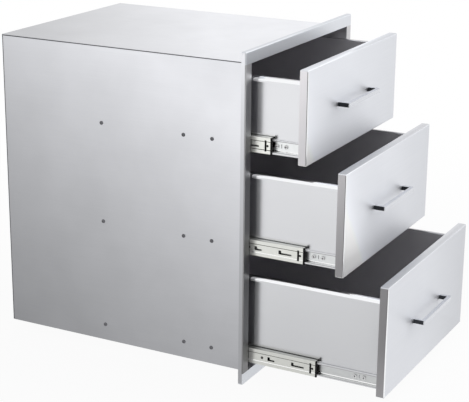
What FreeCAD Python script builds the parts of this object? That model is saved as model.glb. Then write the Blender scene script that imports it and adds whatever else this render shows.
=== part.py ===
import FreeCAD, Part
import os
import re
import Sketcher

# Built-in drawer unit: a sheet metal box with a front frame and three drawers on ball slides.
# x runs left to right seen from the front, y runs from the front to the back, z is up.
# The origin is the centre of the box's underside. Sizes are millimetres.

SIZES = {
    # Box and front frame.
    "box_width": 374.0,
    "box_height": 520.0,
    "box_depth": 475.0,
    "sheet": 1.2,
    "panel_flange": 8.0,
    "panel_seam": 1.2,
    "frame_side": 16.5,
    "frame_end": 18.5,
    "frame_sheet": 1.2,
    "frame_return": 8.3,
    "frame_lip_side": 2.5,
    "frame_lip_end": 1.3,
    # Drawer fronts: the gap runs all round each front in the frame's opening.
    "front_gap": 1.5,
    "front_space": 2.6,
    "front_depth": 14.0,
    "front_round": 2.0,
    "front_edge_round": 0.8,
    "middle_front_height": 169.5,
    "bottom_front_height": 186.0,
    # Drawer trays.
    "tray_sheet": 1.0,
    "tray_rise": 8.6,
    "tray_length": 440.0,
    "tray_rim": 8.4,
    "tray_lip": 8.0,
    "back_rim": 10.0,
    "top_tray_height": 125.0,
    "middle_tray_height": 140.0,
    "bottom_tray_height": 155.0,
    # How far each drawer stands open.
    "top_open": 96.2,
    "middle_open": 164.5,
    "bottom_open": 241.6,
    # Handles.
    "handle_length": 130.0,
    "handle_height": 7.0,
    "handle_reach": 19.5,
    "handle_bar": 6.2,
    "handle_leg": 6.2,
    "handle_round": 3.2,
    "handle_edge_round": 0.8,
    "bottom_handle_drop": 2.5,
    "handle_screw_depth": 9.0,
    # Slides: distances from the box wall are across the slide, heights are from its centre.
    "slide_rise": 24.7,
    "slide_space": 12.7,
    "rail_sheet": 1.2,
    "rail_length": 450.0,
    "rail_setback": 2.0,
    "cabinet_rail_height": 35.0,
    "cabinet_rail_flange": 9.0,
    "telescope_rail_height": 27.3,
    "telescope_rail_offset": 2.4,
    "telescope_rail_flange": 8.0,
    "drawer_rail_height": 19.5,
    "drawer_rail_flange": 7.7,
    "telescope_setback": 9.8,
    "bumper_depth": 2.8,
    "bumper_web": 1.6,
    "bumper_arm": 3.0,
    "bumper_reach": 4.2,
    "bumper_core_height": 16.4,
    "bumper_tongue": 11.0,
    "bumper_tongue_height": 20.0,
    "bumper_tongue_sheet": 1.0,
    # Share of each drawer's travel that its telescope rails make.
    "top_share": 0.6,
    "middle_share": 0.72,
    "bottom_share": 0.6,
    # Balls and their cages.
    "ball_radius": 1.5875,
    "ball_play": 0.05,
    "ball_count": 6,
    "cage_length": 118.0,
    "cage_sheet": 0.5,
    "cage_hole_play": 0.12,
    "outer_ball_offset": 5.7,
    "outer_cage_offset": 1.55,
    "outer_cage_start": 167.0,
    "inner_ball_offset": 7.7,
    "inner_cage_offset": 4.05,
    "inner_cage_start": 146.0,
    "cage_arm_end": 2.2,
    # Slots in the telescope rail's web, from its front end.
    "end_hole_place": 5.0,
    "end_hole_radius": 1.9,
    "end_slot_start": 6.7,
    "end_slot_width": 3.5,
    "end_slot_height": 18.0,
    "long_slot_start": 20.0,
    "long_slot_width": 23.0,
    "short_slot_start": 73.0,
    "short_slot_width": 13.0,
    "slot_head_width": 4.5,
    "slot_head_height": 6.6,
    "slot_tail_height": 2.8,
    "web_hole_place": 96.0,
    "web_hole_radius": 2.4,
    # Upright slot in the drawer rail's web, from its front end.
    "latch_slot_place": 32.5,
    "latch_slot_width": 1.6,
    "latch_slot_height": 7.0,
    # Fasteners.
    "fastener_play": 0.1,
    "rivet_front": 68.0,
    "rivet_middle": 120.7,
    "rivet_rear": 277.6,
    "rivet_radius": 2.0,
    "rivet_head_radius": 3.3,
    "rivet_head_height": 1.1,
    "screw_radius": 2.0,
    "screw_head_radius": 3.4,
    "screw_head_height": 2.0,
    "screw_tip": 1.0,
    "rail_screw_front": 25.0,
    "rail_screw_second": 40.5,
    "rail_screw_middle": 190.0,
    "rail_screw_rear": 415.0,
}

DRAWERS = ("top", "middle", "bottom")

# Places worked out from the sizes. Each drawer adds its own below.
PLACES = {
    "face_y": "-box_depth / 2",
    "back_y": "box_depth / 2",
    "wall_x": "sheet - box_width / 2",
    "frame_half": "box_width / 2 + frame_side",
    "opening_half": "box_width / 2 - frame_lip_side",
    "opening_height": "box_height - 2 * frame_lip_end",
    "front_half": "opening_half - front_gap",
    "front_back_y": "face_y + front_depth",
    "tray_half": "-wall_x - slide_space",
    "rim_half": "tray_half + tray_rim",
    "tray_end_y": "front_back_y + tray_length",
    "handle_left": "-handle_length / 2",
    "handle_right": "handle_length / 2",
    "handle_front_y": "face_y - handle_reach",
    "cabinet_rail_y": "front_back_y + rail_setback",
    "cabinet_rail_end_y": "cabinet_rail_y + rail_length",
    "telescope_rail_x": "wall_x + telescope_rail_offset",
    "telescope_rail_y": "front_back_y + telescope_setback",
    "drawer_rail_x": "wall_x + slide_space",
    "outer_race": "(cabinet_rail_height / 2 - rail_sheet + telescope_rail_height / 2) / 2",
    "inner_race": "(telescope_rail_height / 2 - rail_sheet + drawer_rail_height / 2) / 2",
    "groove_radius": "ball_radius + ball_play",
    "bottom_front_low": "frame_lip_end + front_space",
    "bottom_front_high": "bottom_front_low + bottom_front_height",
    "middle_front_low": "bottom_front_high + front_space",
    "middle_front_high": "middle_front_low + middle_front_height",
    "top_front_low": "middle_front_high + front_space",
    "top_front_high": "frame_lip_end + opening_height - front_space",
}
for level in DRAWERS:
    PLACES[f"{level}_slide_z"] = f"{level}_front_low + slide_rise"
    PLACES[f"{level}_tray_low"] = f"{level}_front_low + tray_rise"
    PLACES[f"{level}_tray_high"] = f"{level}_tray_low + {level}_tray_height"
    PLACES[f"{level}_handle_z"] = f"({level}_front_low + {level}_front_high) / 2"
PLACES["bottom_handle_z"] += " - bottom_handle_drop"

RIVET_PLACES = ("rivet_front", "rivet_middle", "rivet_rear")
RAIL_SCREW_PLACES = ("rail_screw_front", "rail_screw_second", "rail_screw_middle", "rail_screw_rear")

doc = FreeCAD.newDocument("drawer_unit")
sheet = doc.addObject("Spreadsheet::Sheet", "sizes")
for row, (alias, value) in enumerate(SIZES.items(), start=1):
    sheet.set(f"A{row}", str(value))
    sheet.setAlias(f"A{row}", alias)
doc.recompute()

nodes = {}


def formula(text):
    """Write a formula's named places out in full and point its sizes at the sheet."""
    def expand(match):
        word = match.group(0)
        if word in PLACES:
            return "(" + formula(PLACES[word]) + ")"
        return "sizes." + word if word in SIZES else word
    return re.sub(r"[a-z][a-z_]*", expand, text)


def place(item, **shifts):
    """Shift an item along the named axes by formulas."""
    for axis, text in shifts.items():
        item.setExpression(f"Placement.Base.{axis}", formula(text))
    return item


def block(name, x, y, z):
    """Rectangular block between two planes along each axis."""
    item = doc.addObject("Part::Box", name)
    for size, (low, high) in (("Length", x), ("Width", y), ("Height", z)):
        item.setExpression(size, formula(f"({high}) - ({low})"))
    return place(item, x=x[0], y=y[0], z=z[0])


def rod(name, axis, radius, x, y, z):
    """Round rod along one axis; that axis is given by its two ends, the others by the centre."""
    item = doc.addObject("Part::Cylinder", name)
    item.setExpression("Radius", formula(radius))
    turns = {
        "x": FreeCAD.Rotation(FreeCAD.Vector(0, 1, 0), 90),
        "y": FreeCAD.Rotation(FreeCAD.Vector(1, 0, 0), -90),
        "z": FreeCAD.Rotation(),
    }
    item.Placement = FreeCAD.Placement(FreeCAD.Vector(), turns[axis])
    centre = {"x": x, "y": y, "z": z}
    low, high = centre[axis]
    centre[axis] = low
    item.setExpression("Height", formula(f"({high}) - ({low})"))
    return place(item, **centre)


def join(name, pieces):
    item = doc.addObject("Part::MultiFuse", name)
    item.Shapes = pieces
    return item


def group(name, pieces):
    """Several separate solids kept as one piece of the record."""
    item = doc.addObject("Part::Compound", name)
    item.Links = pieces
    return item


def cut(name, base, tools):
    item = doc.addObject("Part::Cut", name)
    item.Base = base
    item.Tool = tools[0] if len(tools) == 1 else group(name + "_tools", tools)
    return item


def overlap(name, base, tool):
    item = doc.addObject("Part::Common", name)
    item.Base = base
    item.Tool = tool
    return item


def mirrored(name, source):
    """The same piece on the unit's other side."""
    item = doc.addObject("Part::Mirroring", name)
    item.Source = source
    item.Base = FreeCAD.Vector(0, 0, 0)
    item.Normal = FreeCAD.Vector(1, 0, 0)
    return item


def extrusion(name, plane, corners, start, end):
    """Straight-sided outline drawn on a plane of the body and padded along that plane's axis."""
    body = doc.addObject("PartDesign::Body", name)
    sketch = body.newObject("Sketcher::SketchObject", name + "_outline")
    planes = [item for item in body.Origin.OriginFeatures if item.Role == plane]
    sketch.AttachmentSupport = [(planes[0], "")]
    sketch.MapMode = "FlatFace"
    backwards = plane == "XZ_Plane"
    sketch.setExpression("AttachmentOffset.Base.z", formula(f"-({start})" if backwards else start))
    count = len(corners)
    for index in range(count):
        here = FreeCAD.Vector(index, index * index, 0)
        there = FreeCAD.Vector((index + 1) % count, ((index + 1) % count) ** 2, 0)
        sketch.addGeometry(Part.LineSegment(here, there), False)
    for index in range(count):
        sketch.addConstraint(Sketcher.Constraint("Coincident", index, 2, (index + 1) % count, 1))
    for index, corner in enumerate(corners):
        for kind, text in zip(("DistanceX", "DistanceY"), corner):
            number = sketch.addConstraint(Sketcher.Constraint(kind, -1, 1, index, 1, 1.0))
            sketch.setExpression(f"Constraints[{number}]", formula(text))
    pad = body.newObject("PartDesign::Pad", name + "_pad")
    pad.Profile = sketch
    pad.setExpression("Length", formula(f"({end}) - ({start})"))
    pad.Reversed = backwards
    return body


def rounded(body, name, radius, wanted):
    """Round the body's edges whose middle point passes the test."""
    doc.recompute()
    tip = body.Tip
    names = []
    for number, edge in enumerate(tip.Shape.Edges, start=1):
        if wanted(edge.CenterOfMass, edge):
            names.append(f"Edge{number}")
    fillet = body.newObject("PartDesign::Fillet", name)
    fillet.Base = (tip, names)
    fillet.setExpression("Radius", formula(radius))
    return body


def node(name, item):
    item.Label = name
    nodes[name] = item
    return item


def box_panels():
    """Two sides, top, bottom and back of the box. The top lies over the sides with an open seam."""
    front = "face_y + frame_sheet"
    rear = "back_y - sheet"
    side = block("side_plate", ("-box_width / 2", "wall_x"), (front, rear),
                 ("0", "box_height - sheet - panel_seam"))
    holes = []
    for level in DRAWERS:
        for spot in RIVET_PLACES:
            holes.append(rod(f"{level}_{spot}_hole", "x", "rivet_radius + fastener_play",
                             ("-box_width / 2 - sheet", "wall_x + sheet"),
                             f"face_y + {spot}", f"{level}_slide_z"))
    left = node("left_side_panel", cut("side_panel_left", side, holes))
    node("right_side_panel", mirrored("side_panel_right", left))
    lip = "sheet + panel_flange"
    corners = [("wall_x", "0"), ("-wall_x", "0"), ("-wall_x", lip), ("-wall_x - sheet", lip),
               ("-wall_x - sheet", "sheet"), ("wall_x + sheet", "sheet"), ("wall_x + sheet", lip),
               ("wall_x", lip)]
    node("bottom_panel", extrusion("bottom_panel_sheet", "XZ_Plane", corners, front, rear))
    edge, high, skin, lip = "box_width / 2", "box_height", "box_height - sheet", f"box_height - ({lip})"
    corners = [(f"-{edge}", high), (edge, high), (edge, skin), ("-wall_x", skin), ("-wall_x", lip),
               ("-wall_x - sheet", lip), ("-wall_x - sheet", skin), ("wall_x + sheet", skin),
               ("wall_x + sheet", lip), ("wall_x", lip), ("wall_x", skin), (f"-{edge}", skin)]
    node("top_panel", extrusion("top_panel_sheet", "XZ_Plane", corners, front, rear))
    node("back_panel", block("back_plate", (f"-{edge}", edge), (rear, "back_y"), ("0", high)))


def front_frame():
    """Folded frame round the opening, in four lengths."""
    high = "box_height + frame_end"
    body = block("frame_body", ("-frame_half", "frame_half"), ("face_y", "face_y + frame_return"),
                 ("-frame_end", high))
    hollow = block("frame_hollow", ("-frame_half + frame_sheet", "frame_half - frame_sheet"),
                   ("face_y + frame_sheet", "face_y + frame_return + sheet"),
                   ("-frame_end + frame_sheet", f"{high} - frame_sheet"))
    wide = ("-opening_half", "opening_half")
    deep = ("face_y - sheet", "face_y + front_depth")
    below = "-frame_end - sheet"
    above = f"{high} + sheet"
    opening = block("frame_opening", wide, deep, ("frame_lip_end", "box_height - frame_lip_end"))
    pan = cut("frame_pan", body, [hollow])
    ring = cut("frame_ring", pan, [opening])
    left = block("left_stile_space", ("-frame_half - sheet", "-opening_half"), deep, (below, above))
    upper = block("top_rail_space", wide, deep, ("box_height / 2", above))
    lower = block("bottom_rail_space", wide, deep, (below, "box_height / 2"))
    stile = node("frame_left_stile", overlap("stile_left", ring, left))
    node("frame_right_stile", mirrored("stile_right", stile))
    node("frame_top_rail", overlap("rail_top", ring, upper))
    node("frame_bottom_rail", overlap("rail_bottom", ring, lower))


def rail_rivets():
    """Nine rivets on each side, through the side panel and the cabinet rails."""
    outside = "-box_width / 2"
    shank = rod("rivet_shank", "x", "rivet_radius", (outside, "wall_x + rail_sheet"), "0", "0")
    cap = doc.addObject("Part::Cone", "rivet_cap")
    cap.setExpression("Radius1", formula("rivet_head_radius"))
    cap.setExpression("Radius2", formula("rivet_radius"))
    cap.setExpression("Height", formula("rivet_head_height"))
    cap.Placement = FreeCAD.Placement(FreeCAD.Vector(), FreeCAD.Rotation(FreeCAD.Vector(0, 1, 0), -90))
    place(cap, x=outside)
    rivet = join("rivet", [shank, cap])
    copies = []
    for level in DRAWERS:
        for spot in RIVET_PLACES:
            copy = group(f"{level}_{spot}_rivet", [rivet])
            copies.append(place(copy, y=f"face_y + {spot}", z=f"{level}_slide_z"))
    left = node("left_rail_rivets", group("rivets_left", copies))
    node("right_rail_rivets", mirrored("rivets_right", left))


def channel(web, mouth, half, start, end, name):
    """Rail section with its web at one side and its open side at the other."""
    sense = "+" if name != "drawer_rail" else "-"
    inner = f"{web} {sense} rail_sheet"
    corners = [(web, f"-({half})"), (mouth, f"-({half})"), (mouth, f"rail_sheet - ({half})"),
               (inner, f"rail_sheet - ({half})"), (inner, f"({half}) - rail_sheet"),
               (mouth, f"({half}) - rail_sheet"), (mouth, half), (web, half)]
    return extrusion(name + "_channel", "XZ_Plane", corners, start, end)


def races(name, offset, race, start, end):
    """The two rods that cut a rail's ball grooves."""
    rods = []
    for side, sense in (("low", "-"), ("high", "")):
        rods.append(rod(f"{name}_{side}", "y", "groove_radius", f"wall_x + {offset}",
                        (f"{start} - sheet", f"{end} + sheet"), f"{sense}{race}"))
    return rods


def cabinet_rail():
    start, end = "cabinet_rail_y", "cabinet_rail_end_y"
    section = channel("wall_x", "wall_x + cabinet_rail_flange", "cabinet_rail_height / 2",
                      start, end, "cabinet_rail")
    tools = races("cabinet_rail_race", "outer_ball_offset", "outer_race", start, end)
    for spot in RIVET_PLACES:
        tools.append(rod(f"cabinet_rail_{spot}", "x", "rivet_radius + fastener_play",
                         ("wall_x - sheet", "wall_x + 2 * rail_sheet"), f"face_y + {spot}", "0"))
    return cut("cabinet_rail", section, tools)


def telescope_rail():
    """Middle section of the slide, with the slots in its web."""
    start, end = "telescope_rail_y", "cabinet_rail_end_y - rail_setback"
    half = "telescope_rail_height / 2"
    section = channel("telescope_rail_x", "telescope_rail_x + telescope_rail_flange", half,
                      start, end, "telescope_rail")
    tools = races("telescope_outer_race", "outer_ball_offset", "outer_race", start, end)
    tools += races("telescope_inner_race", "inner_ball_offset", "inner_race", start, end)
    deep = ("telescope_rail_x - rail_sheet", "telescope_rail_x + 2 * rail_sheet")
    foot = "-slot_head_height / 2"
    for side, base, sense in (("front", start, "+"), ("rear", end, "-")):
        near = f"{base} {sense} end_slot_start"
        far = f"{near} {sense} end_slot_width"
        across = (near, far) if side == "front" else (far, near)
        tools.append(block(f"end_slot_{side}", deep, across,
                           ("-end_slot_height / 2", "end_slot_height / 2")))
        for slot in ("long_slot", "short_slot"):
            near = f"{base} {sense} {slot}_start"
            far = f"{near} {sense} {slot}_width"
            turn = f"{near} {sense} ({slot}_width - slot_head_width)"
            tail = (near, far) if side == "front" else (far, near)
            head = (turn, far) if side == "front" else (far, turn)
            tools.append(block(f"{slot}_tail_{side}", deep, tail, (foot, f"{foot} + slot_tail_height")))
            tools.append(block(f"{slot}_head_{side}", deep, head, (foot, "slot_head_height / 2")))
        for hole in ("end_hole", "web_hole"):
            tools.append(rod(f"{hole}_{side}", "x", f"{hole}_radius", deep,
                             f"{base} {sense} {hole}_place", "0"))
    return cut("telescope_rail", section, tools)


def drawer_rail():
    start, end = "front_back_y", "front_back_y + rail_length"
    section = channel("drawer_rail_x", "drawer_rail_x - drawer_rail_flange", "drawer_rail_height / 2",
                      start, end, "drawer_rail")
    tools = races("drawer_rail_race", "inner_ball_offset", "inner_race", start, end)
    for spot in RAIL_SCREW_PLACES:
        tools.append(rod(f"drawer_rail_{spot}", "x", "screw_radius + fastener_play",
                         ("drawer_rail_x - 2 * rail_sheet", "drawer_rail_x + rail_sheet"),
                         f"front_back_y + {spot}", "0"))
    middle = "front_back_y + latch_slot_place"
    tools.append(block("latch_slot", ("drawer_rail_x - 2 * rail_sheet", "drawer_rail_x + rail_sheet"),
                       (f"{middle} - latch_slot_width / 2", f"{middle} + latch_slot_width / 2"),
                       ("-latch_slot_height / 2", "latch_slot_height / 2")))
    return cut("drawer_rail", section, tools)


def rail_bumper():
    """Black end piece of the telescope rail, shaped like an E round the drawer rail's two edges,
    with a tongue behind the web that closes its first slots."""
    web = "telescope_rail_x"
    mouth = f"{web} + bumper_reach"
    half = "telescope_rail_height / 2"
    inner = f"{web} + bumper_web"
    core_low, core_high = "-bumper_core_height / 2", "bumper_core_height / 2"
    corners = [(web, f"-({half})"), (mouth, f"-({half})"), (mouth, f"bumper_arm - ({half})"),
               (inner, f"bumper_arm - ({half})"), (inner, core_low), (mouth, core_low),
               (mouth, core_high), (inner, core_high), (inner, f"({half}) - bumper_arm"),
               (mouth, f"({half}) - bumper_arm"), (mouth, half), (web, half)]
    cap = extrusion("bumper_cap", "XZ_Plane", corners, "telescope_rail_y - bumper_depth",
                    "telescope_rail_y")
    seat = "telescope_rail_x + rail_sheet"
    tongue = block("bumper_tongue_plate", (seat, f"{seat} + bumper_tongue_sheet"),
                   ("telescope_rail_y - bumper_depth", "telescope_rail_y + bumper_tongue"),
                   ("-bumper_tongue_height / 2", "bumper_tongue_height / 2"))
    return join("rail_bumper", [cap, tongue])


def ball_cage(kind):
    """Thin channel with two rows of balls in it."""
    start = f"front_back_y + {kind}_cage_start"
    end = f"{start} + cage_length"
    web = f"wall_x + {kind}_cage_offset"
    mouth = f"wall_x + {kind}_ball_offset + cage_arm_end"
    half = f"{kind}_race + cage_sheet / 2"
    inner = f"{web} + cage_sheet"
    low, high = f"-({half})", half
    corners = [(web, low), (mouth, low), (mouth, f"{low} + cage_sheet"), (inner, f"{low} + cage_sheet"),
               (inner, f"{high} - cage_sheet"), (mouth, f"{high} - cage_sheet"), (mouth, high), (web, high)]
    strip = extrusion(f"{kind}_cage_strip", "XZ_Plane", corners, start, end)
    holes = []
    balls = []
    for index in range(SIZES["ball_count"]):
        spot = f"{start} + cage_length * {index + 0.5} / ball_count"
        centre = f"wall_x + {kind}_ball_offset"
        holes.append(rod(f"{kind}_cage_hole_{index}", "z", "ball_radius + cage_hole_play", centre,
                         spot, (f"-{kind}_race - ball_radius", f"{kind}_race + ball_radius")))
        for side, sense in (("low", "-"), ("high", "")):
            ball = doc.addObject("Part::Sphere", f"{kind}_ball_{index}_{side}")
            ball.setExpression("Radius", formula("ball_radius"))
            balls.append(place(ball, x=centre, y=spot, z=f"{sense}{kind}_race"))
    return group(f"{kind}_ball_cage", [cut(f"{kind}_cage", strip, holes)] + balls)


def rail_screw():
    head = rod("rail_screw_head", "x", "screw_head_radius",
               ("drawer_rail_x - rail_sheet - screw_head_height", "drawer_rail_x - rail_sheet"), "0", "0")
    shank = rod("rail_screw_shank", "x", "screw_radius",
                ("drawer_rail_x - rail_sheet", "drawer_rail_x + tray_sheet + screw_tip"), "0", "0")
    return join("rail_screw", [head, shank])


def handle_screw():
    head = rod("handle_screw_head", "y", "screw_head_radius", "0",
               ("face_y + tray_sheet", "face_y + tray_sheet + screw_head_height"), "0")
    shank = rod("handle_screw_shank", "y", "screw_radius", "0",
                ("face_y - handle_screw_depth", "face_y + tray_sheet"), "0")
    return join("handle_screw", [head, shank])


def slides(level, masters):
    """One drawer's pair of slides, each section moved out by its share of the opening."""
    height = f"{level}_slide_z"
    share = f"{level}_share"
    sections = {"cabinet": "0", "telescope": share, "drawer": "1"}
    for section, part in sections.items():
        for side in ("left", "right"):
            piece = group(f"{level}_{side}_{section}_section", [masters[section, side]])
            place(piece, y=f"-{part} * {level}_open", z=height)
            node(f"{level}_{side}_{section}_rail", piece)
    pairs = (
        ("rail_bumpers", "bumper", share),
        ("outer_ball_cages", "outer_cage", f"{share} / 2"),
        ("inner_ball_cages", "inner_cage", f"(1 + {share}) / 2"),
    )
    for name, kind, part in pairs:
        piece = group(f"{level}_{kind}_pair", [masters[kind, "left"], masters[kind, "right"]])
        node(f"{level}_{name}", place(piece, y=f"-{part} * {level}_open", z=height))
    screws = []
    for spot in RAIL_SCREW_PLACES:
        for side in ("left", "right"):
            copy = group(f"{level}_{side}_{spot}", [masters["screw", side]])
            screws.append(place(copy, y=f"front_back_y + {spot}", z=height))
    node(f"{level}_rail_screws", place(group(f"{level}_screws", screws), y=f"-{level}_open"))


def drawer_front(level, shift):
    """Hollow front: a folded pan, the panel that closes it, and the handle with its screws."""
    low, high = f"{level}_front_low", f"{level}_front_high"
    corners = [("-front_half", low), ("front_half", low), ("front_half", high), ("-front_half", high)]
    pan = extrusion(f"{level}_pan", "XZ_Plane", corners, "face_y", "front_back_y")
    rounded(pan, f"{level}_pan_corners", "front_round",
            lambda middle, edge: abs(edge.tangentAt(edge.FirstParameter).y) > 0.99)
    rounded(pan, f"{level}_pan_face", "front_edge_round",
            lambda middle, edge: edge.BoundBox.YLength < 0.001 and middle.y < -SIZES["box_depth"] / 2 + 1)
    inside = ("-front_half + tray_sheet", "front_half - tray_sheet")
    between = (f"{low} + tray_sheet", f"{high} - tray_sheet")
    tools = [block(f"{level}_pan_hollow", inside, ("face_y + tray_sheet", "front_back_y + sheet"), between)]
    leg_places = ("handle_left + handle_leg / 2", "handle_right - handle_leg / 2")
    for number, spot in enumerate(leg_places):
        tools.append(rod(f"{level}_pan_hole_{number}", "y", "screw_radius + fastener_play", spot,
                         ("face_y - sheet", "face_y + 2 * tray_sheet"), f"{level}_handle_z"))
    node(f"{level}_front_skin", place(cut(f"{level}_skin", pan, tools), y=shift))
    backing = block(f"{level}_backing", inside, ("front_back_y - tray_sheet", "front_back_y"), between)
    backing.setExpression("Placement.Base.y", formula(f"front_back_y - tray_sheet + {shift}"))
    node(f"{level}_front_backing", backing)
    inner_y = "handle_front_y + handle_bar"
    outline = [("handle_left", "face_y"), ("handle_left", "handle_front_y"),
               ("handle_right", "handle_front_y"), ("handle_right", "face_y"),
               ("handle_right - handle_leg", "face_y"), ("handle_right - handle_leg", inner_y),
               ("handle_left + handle_leg", inner_y), ("handle_left + handle_leg", "face_y")]
    bow = extrusion(f"{level}_bow", "XY_Plane", outline, f"{level}_handle_z - handle_height / 2",
                    f"{level}_handle_z + handle_height / 2")
    front_y = -SIZES["box_depth"] / 2 - SIZES["handle_reach"]
    rounded(bow, f"{level}_bow_corners", "handle_round",
            lambda middle, edge: edge.BoundBox.ZLength > 1 and middle.y < front_y + 0.01)
    rounded(bow, f"{level}_bow_edges", "handle_edge_round",
            lambda middle, edge: edge.BoundBox.ZLength < 0.001 and middle.y < front_y + 1.5)
    threads = []
    screws = []
    deep = ("face_y - handle_screw_depth - screw_tip", "face_y + sheet")
    for number, spot in enumerate(leg_places):
        threads.append(rod(f"{level}_leg_hole_{number}", "y", "screw_radius + fastener_play", spot,
                           deep, f"{level}_handle_z"))
        screw = group(f"{level}_handle_screw_{number}", [handle_screw_master])
        screws.append(place(screw, x=spot, z=f"{level}_handle_z"))
    node(f"{level}_handle", place(cut(f"{level}_grip", bow, threads), y=shift))
    node(f"{level}_handle_screws", place(group(f"{level}_grip_screws", screws), y=shift))


def drawer_tray(level, shift):
    """Folded bottom and sides, rims turned out over the slides and down, and the back wall."""
    low, high = f"{level}_tray_low", f"{level}_tray_high"
    floor = f"{low} + tray_sheet"
    ledge = f"{high} - tray_sheet"
    lip = f"{high} - tray_lip"
    right = [("tray_half", low), ("tray_half", ledge), ("rim_half - tray_sheet", ledge),
             ("rim_half - tray_sheet", lip), ("rim_half", lip), ("rim_half", high),
             ("tray_half - tray_sheet", high), ("tray_half - tray_sheet", floor)]
    corners = right + [(f"-({across})", up) for across, up in reversed(right)]
    sheet_body = extrusion(f"{level}_tray_sheet_metal", "XZ_Plane", corners, "front_back_y", "tray_end_y")
    holes = []
    for spot in RAIL_SCREW_PLACES:
        holes.append(rod(f"{level}_tray_{spot}", "x", "screw_radius + fastener_play",
                         ("-tray_half - sheet", "tray_half + sheet"), f"front_back_y + {spot}",
                         f"{level}_slide_z"))
    node(f"{level}_drawer_tray", place(cut(f"{level}_tray", sheet_body, holes), y=shift))
    under = f"{ledge} - tray_sheet"
    wall = [("tray_end_y", floor), ("tray_end_y", ledge), ("tray_end_y - back_rim", ledge),
            ("tray_end_y - back_rim", under), ("tray_end_y - tray_sheet", under),
            ("tray_end_y - tray_sheet", floor)]
    back = extrusion(f"{level}_back", "YZ_Plane", wall, "tray_sheet - tray_half", "tray_half - tray_sheet")
    node(f"{level}_drawer_back", place(back, y=shift))


box_panels()
front_frame()
rail_rivets()
handle_screw_master = handle_screw()
masters = {
    ("cabinet", "left"): cabinet_rail(),
    ("telescope", "left"): telescope_rail(),
    ("drawer", "left"): drawer_rail(),
    ("bumper", "left"): rail_bumper(),
    ("outer_cage", "left"): ball_cage("outer"),
    ("inner_cage", "left"): ball_cage("inner"),
    ("screw", "left"): rail_screw(),
}
for kind, side in list(masters):
    masters[kind, "right"] = mirrored(f"{kind}_right_side", masters[kind, side])
for level in DRAWERS:
    slides(level, masters)
    drawer_tray(level, f"-{level}_open")
    drawer_front(level, f"-{level}_open")
doc.recompute()

for item in doc.Objects:
    if "Invalid" in item.State or "Error" in item.State:
        raise ValueError(f"{item.Label} could not be built: {item.State}")
os.makedirs("parts", exist_ok=True)
for name, item in nodes.items():
    if item.Shape.isNull() or not item.Shape.isValid():
        raise ValueError(f"{name} is not a sound shape")
for name, item in nodes.items():
    item.Shape.exportStep(os.path.join("parts", name + ".step"))
print(len(nodes), "pieces written")
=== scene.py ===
# %% [markdown]
# # A built-in drawer unit for an outdoor kitchen
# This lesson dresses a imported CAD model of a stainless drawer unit: a sheet metal box with a
# front frame and three drawers on ball slides. The CAD model gives every place and size. Here
# each visible piece gets the rounded folds, holes and finish that the real one has.

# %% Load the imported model
import math

import bmesh
import bpy
from mathutils import Matrix, Vector


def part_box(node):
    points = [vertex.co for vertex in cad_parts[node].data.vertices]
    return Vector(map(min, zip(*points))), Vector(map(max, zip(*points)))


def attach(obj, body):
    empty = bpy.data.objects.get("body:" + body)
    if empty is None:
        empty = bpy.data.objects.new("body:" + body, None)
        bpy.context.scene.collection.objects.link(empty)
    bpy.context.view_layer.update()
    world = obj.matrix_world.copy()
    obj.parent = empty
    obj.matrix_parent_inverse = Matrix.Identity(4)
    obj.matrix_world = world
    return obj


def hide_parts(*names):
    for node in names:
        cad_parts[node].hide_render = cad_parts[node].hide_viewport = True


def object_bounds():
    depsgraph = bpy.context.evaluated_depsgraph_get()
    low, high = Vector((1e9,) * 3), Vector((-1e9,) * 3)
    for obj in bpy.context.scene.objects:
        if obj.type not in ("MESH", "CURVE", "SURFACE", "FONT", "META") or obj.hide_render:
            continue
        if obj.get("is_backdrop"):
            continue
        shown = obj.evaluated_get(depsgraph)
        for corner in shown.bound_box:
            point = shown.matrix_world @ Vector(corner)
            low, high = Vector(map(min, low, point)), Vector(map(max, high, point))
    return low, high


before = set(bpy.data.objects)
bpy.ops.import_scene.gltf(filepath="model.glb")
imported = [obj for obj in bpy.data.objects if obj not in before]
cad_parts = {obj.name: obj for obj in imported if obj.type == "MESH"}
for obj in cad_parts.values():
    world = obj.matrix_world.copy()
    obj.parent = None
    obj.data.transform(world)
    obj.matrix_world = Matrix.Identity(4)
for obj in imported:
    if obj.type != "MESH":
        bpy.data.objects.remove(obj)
cad_low, cad_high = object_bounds()
MM = 0.001
TINY = 1e-6  # places closer than this, in metres, count as the same
X, Y, Z = 0, 1, 2  # the unit's axes: to its right, to its back and up
LEVELS = ("top", "middle", "bottom")

# %% [markdown]
# ## Picking and shaping by hand
# A modeller at the screen clicks the faces or edges that come next. A script has no mouse, so
# each pick is a test on a face's or an edge's middle. Many pieces start as a block at their real
# place, and their objects stay at the origin.

# %% Helpers for modelling
def leave_edit_mode():
    """Go back to object mode, so that the mesh holds what was modelled."""
    if bpy.context.object and bpy.context.object.mode == "EDIT":
        bpy.ops.object.mode_set(mode="OBJECT")


def choose(*pieces):
    """Select only these pieces and make the first one active."""
    leave_edit_mode()
    bpy.ops.object.select_all(action="DESELECT")
    for piece in pieces:
        piece.select_set(True)
    bpy.context.view_layer.objects.active = pieces[0]


def middle(item):
    """The middle of a face or an edge."""
    return sum((v.co for v in item.verts), Vector()) / len(item.verts)


def along(edge, axis):
    """True if the edge runs along the axis, to within about three degrees."""
    step = edge.verts[1].co - edge.verts[0].co
    return abs(step[axis]) > 0.999 * step.length


def pick(kind, test):
    """Select the faces or edges of the piece in edit mode that pass the test."""
    bpy.ops.mesh.select_mode(type=kind)
    bpy.ops.mesh.select_all(action="DESELECT")
    mesh = bmesh.from_edit_mesh(bpy.context.object.data)
    items = mesh.faces if kind == "FACE" else mesh.edges
    for item in [item for item in items if test(item)]:
        item.select_set(True)
    mesh.select_flush_mode()
    bmesh.update_edit_mesh(bpy.context.object.data)


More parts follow.
